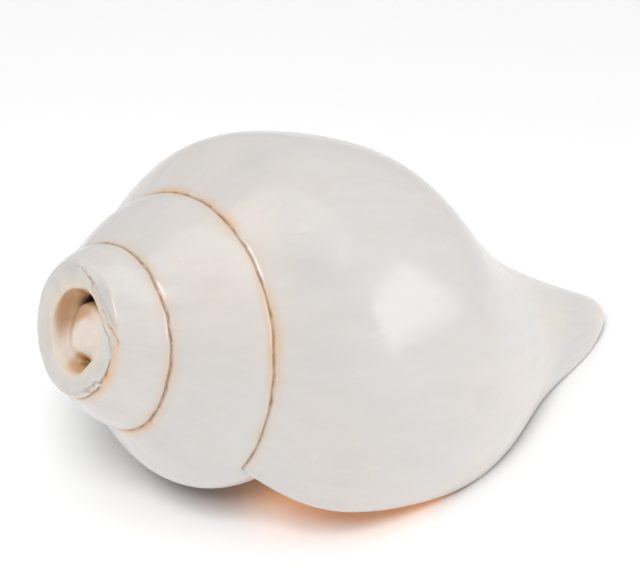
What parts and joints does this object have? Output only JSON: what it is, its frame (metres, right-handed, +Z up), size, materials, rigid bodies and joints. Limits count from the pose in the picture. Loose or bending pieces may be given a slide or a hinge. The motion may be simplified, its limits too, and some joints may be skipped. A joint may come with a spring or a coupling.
{
  "type": "conch shell",
  "caption": "Polished spiral conch shell with a long lower opening, a tapering canal and a round mouth hole ground into the spire for blowing.",
  "frame": {"origin": "centre of the bounding box in plan, on the surface that the shell rests on", "axes": "+X from the ground-off spire to the tip of the canal, +Z up with the opening underneath, -Y the side of the outer lip"},
  "size_m": [0.1334, 0.0756, 0.0716],
  "materials": {
    "shell": "polished shell, warm white, with brown seams and a peach opening"
  },
  "bodies": {
    "root": {"shell": "shell"}
  },
  "joints": []
}
